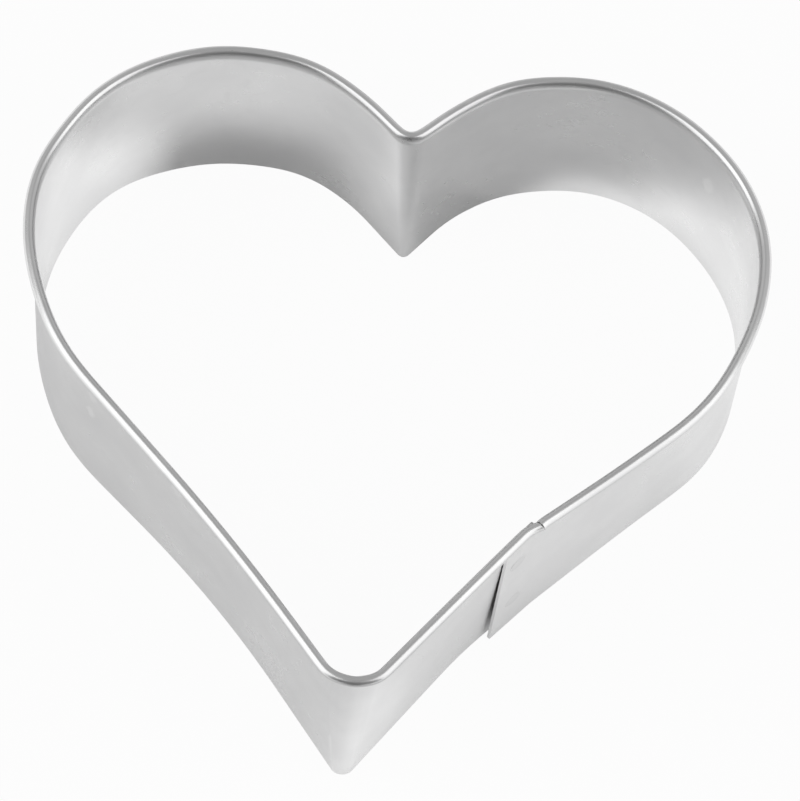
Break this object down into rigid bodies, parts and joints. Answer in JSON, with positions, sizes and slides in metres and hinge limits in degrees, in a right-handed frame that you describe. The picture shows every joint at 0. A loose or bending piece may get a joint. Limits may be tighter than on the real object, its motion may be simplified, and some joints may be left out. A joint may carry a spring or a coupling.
{
  "type": "cookie cutter",
  "caption": "Heart-shaped cookie cutter bent from one strip of thin tinned steel, with a rolled upper edge, a thin cutting edge and a spot-welded lap; open right through.",
  "frame": {"origin": "centre of the heart's footprint, in the plane of the cutting edge that it stands on", "axes": "+X across the lobes to the side of the lap, +Y from the heart's tip to its notch, +Z from the cutting edge up to the rolled edge"},
  "size_m": [0.062, 0.0567, 0.02],
  "materials": {
    "tinned_sheet": "rolled tinplate, satin bright",
    "weld_metal": "dull spot weld marks"
  },
  "bodies": {
    "root": {"heart_strip": "tinned_sheet", "spot_welds": "weld_metal"}
  },
  "joints": []
}
